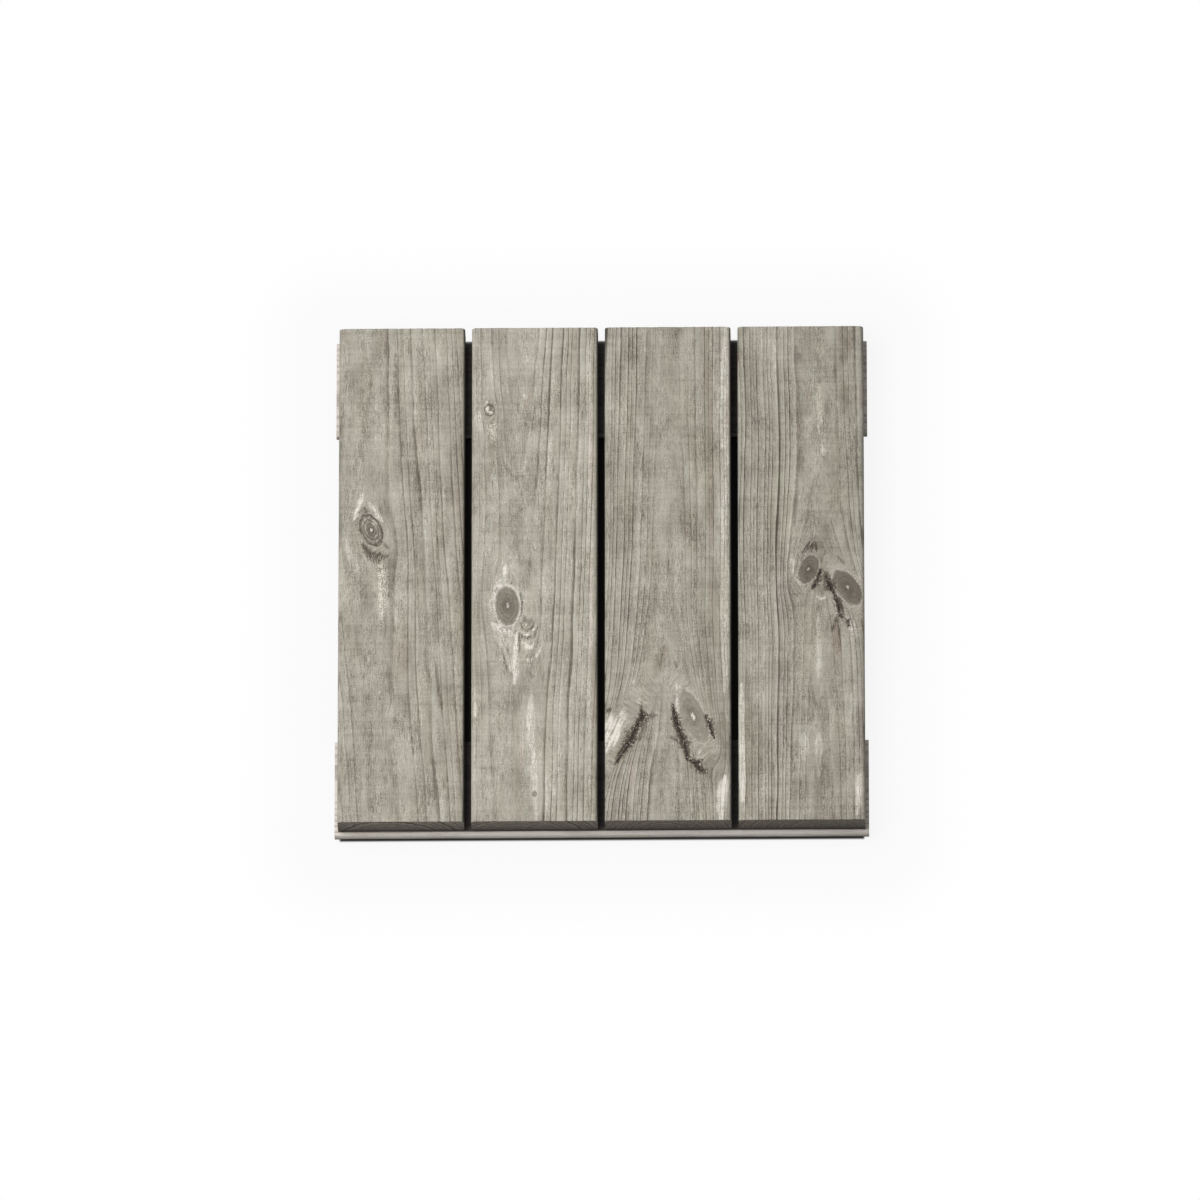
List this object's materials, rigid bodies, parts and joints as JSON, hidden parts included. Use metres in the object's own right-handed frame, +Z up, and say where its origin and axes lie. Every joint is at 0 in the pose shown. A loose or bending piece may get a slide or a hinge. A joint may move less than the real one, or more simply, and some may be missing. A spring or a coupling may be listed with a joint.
{
  "type": "wooden deck tile",
  "caption": "Square weathered-wood deck tile: parallel decking boards with rounded edges and drainage gaps, screwed from below to flat cross battens, laid loose on level ground.",
  "frame": {"origin": "on the ground under the middle of the tile's outer box", "axes": "+X across the boards to the right, +Y along the boards away from the viewer, +Z up"},
  "size_m": [0.506, 0.504, 0.04],
  "materials": {
    "weathered_board": "silver-grey weathered softwood, unsealed, with dark latewood lines, knots and darker sawn ends",
    "batten_wood": "planed softwood, greyed and damp-stained",
    "screw_steel": "dull zinc-plated steel"
  },
  "bodies": {
    "root": {"deck_board_1": "weathered_board", "deck_board_2": "weathered_board", "deck_board_3": "weathered_board", "deck_board_4": "weathered_board", "front_batten": "batten_wood", "rear_batten": "batten_wood", "batten_screws": "screw_steel"}
  },
  "joints": []
}
